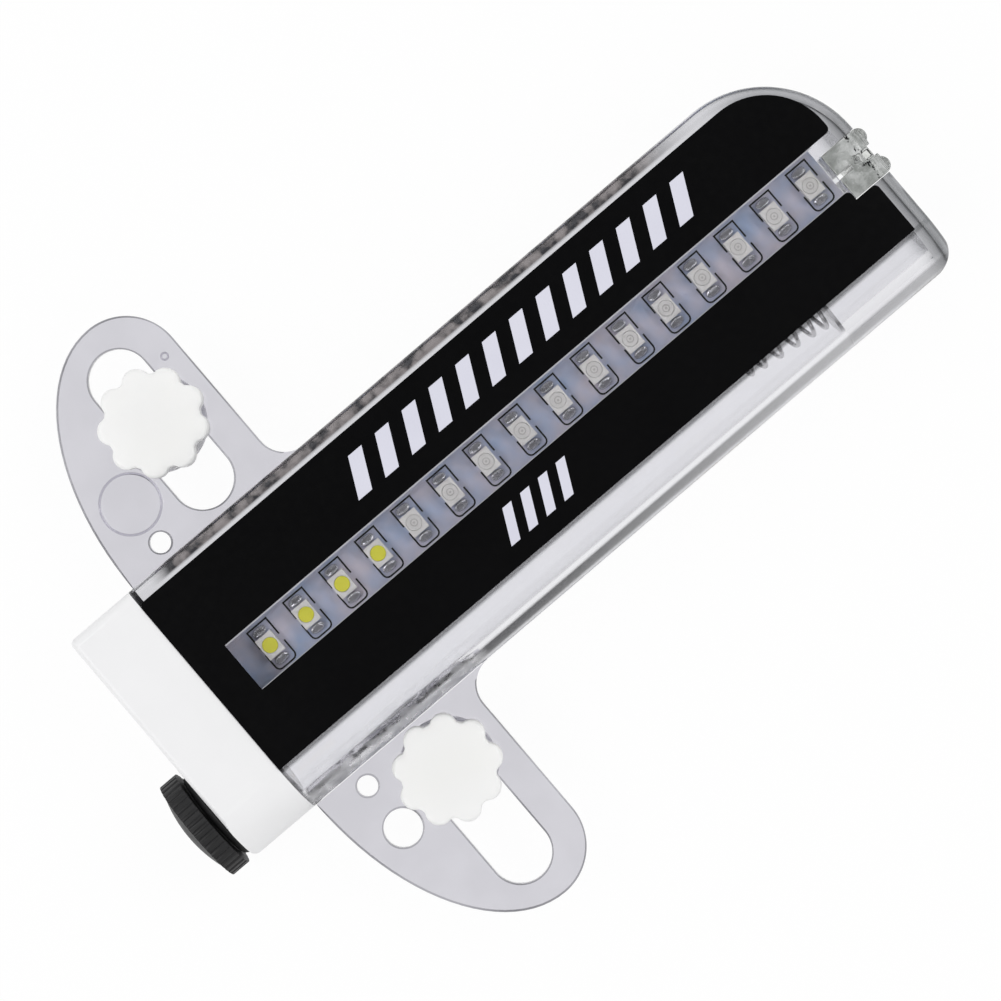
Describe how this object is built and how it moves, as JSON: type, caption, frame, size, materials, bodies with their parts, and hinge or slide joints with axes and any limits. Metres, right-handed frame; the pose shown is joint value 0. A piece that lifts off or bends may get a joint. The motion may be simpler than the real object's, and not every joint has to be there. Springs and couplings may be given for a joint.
{
  "type": "spoke wheel light",
  "caption": "Clear-cased bicycle spoke light with a row of surface-mount lamps, a white end cap with a black screw battery plug, and slotted wings with thumbscrew spoke clamps.",
  "frame": {"origin": "centre of the part's box, on the plane of the case's rear face", "axes": "+X from the battery plug to the tip of the case, +Y across the case to the wing on the lamp side, +Z out of the lamp face"},
  "size_m": [0.1388, 0.1058, 0.0166],
  "materials": {
    "clear_shell": "clear, polished",
    "clear_wing": "clear, polished",
    "clear_tip": "clear, slightly cloudy",
    "white_cap": "satin",
    "white_knob": "satin",
    "black_film": "glossy printed film",
    "black_plug": "satin",
    "black_rubber": "matte",
    "board": "solder mask",
    "lamp_white": "moulded",
    "phosphor": "resin",
    "clear_resin": "resin",
    "solder": "tinned",
    "chip_black": "moulded",
    "brass_can": "bright",
    "spring_steel": "bright"
  },
  "bodies": {
    "light": {"case": "clear_shell", "upper_wing": "clear_wing", "lower_wing": "clear_wing", "tip_plug": "clear_tip", "end_cap": "white_cap", "front_label": "black_film", "led_board": "board", "lamp_housings": "lamp_white", "white_lamp_fills": "phosphor", "colour_lamp_fills": "clear_resin", "lamp_solder": "solder", "controller_chip": "chip_black", "chip_pins": "solder", "chip_resistors": "chip_black", "motion_switch": "brass_can", "switch_leads": "solder", "battery_spring": "spring_steel", "spring_plate": "spring_steel", "positive_strip": "brass_can"},
    "seal": {"plug_gasket": "black_rubber"},
    "plug": {"battery_plug": "black_plug", "plug_contact": "spring_steel"},
    "upper_carriage": {"upper_washer": "white_knob"},
    "upper_screw": {"upper_thumbscrew": "white_knob"},
    "upper_grip": {"upper_jaw": "white_knob"},
    "lower_carriage": {"lower_washer": "white_knob"},
    "lower_screw": {"lower_thumbscrew": "white_knob"},
    "lower_grip": {"lower_jaw": "white_knob"}
  },
  "joints": [
    {"name": "plug_travel", "type": "slide", "parent": "light", "child": "seal", "axis": [-1, 0, 0], "range_m": [0, 0.009]},
    {"name": "plug_turn", "type": "hinge", "parent": "seal", "child": "plug", "pos_m": [-0.06475, -0.012, 0.0082], "axis": [-1, 0, 0], "range_deg": [0, 2160]},
    {"name": "upper_clamp_slide", "type": "slide", "parent": "light", "child": "upper_carriage", "axis": [0, 1, 0], "range_m": [-0.0079, 0.0065]},
    {"name": "upper_screw_turn", "type": "hinge", "parent": "upper_carriage", "child": "upper_screw", "pos_m": [-0.03455, 0.0365, 0.0082], "axis": [0, 0, 1], "range_deg": [-216, 396]},
    {"name": "upper_jaw_travel", "type": "slide", "parent": "upper_carriage", "child": "upper_grip", "axis": [0, 0, 1], "range_m": [-0.00115, 0.00065]},
    {"name": "lower_clamp_slide", "type": "slide", "parent": "light", "child": "lower_carriage", "axis": [0, -1, 0], "range_m": [0, 0.0145]},
    {"name": "lower_screw_turn", "type": "hinge", "parent": "lower_carriage", "child": "lower_screw", "pos_m": [-0.03455, -0.0285, 0.0082], "axis": [0, 0, 1], "range_deg": [-216, 396]},
    {"name": "lower_jaw_travel", "type": "slide", "parent": "lower_carriage", "child": "lower_grip", "axis": [0, 0, 1], "range_m": [-0.00115, 0.00065]}
  ],
  "couplings": [
    {"joint": "plug_travel", "follows": "plug_turn", "m_per_rad": 0.00023873},
    {"joint": "upper_jaw_travel", "follows": "upper_screw_turn", "m_per_rad": -0.00015915},
    {"joint": "lower_jaw_travel", "follows": "lower_screw_turn", "m_per_rad": -0.00015915}
  ]
}
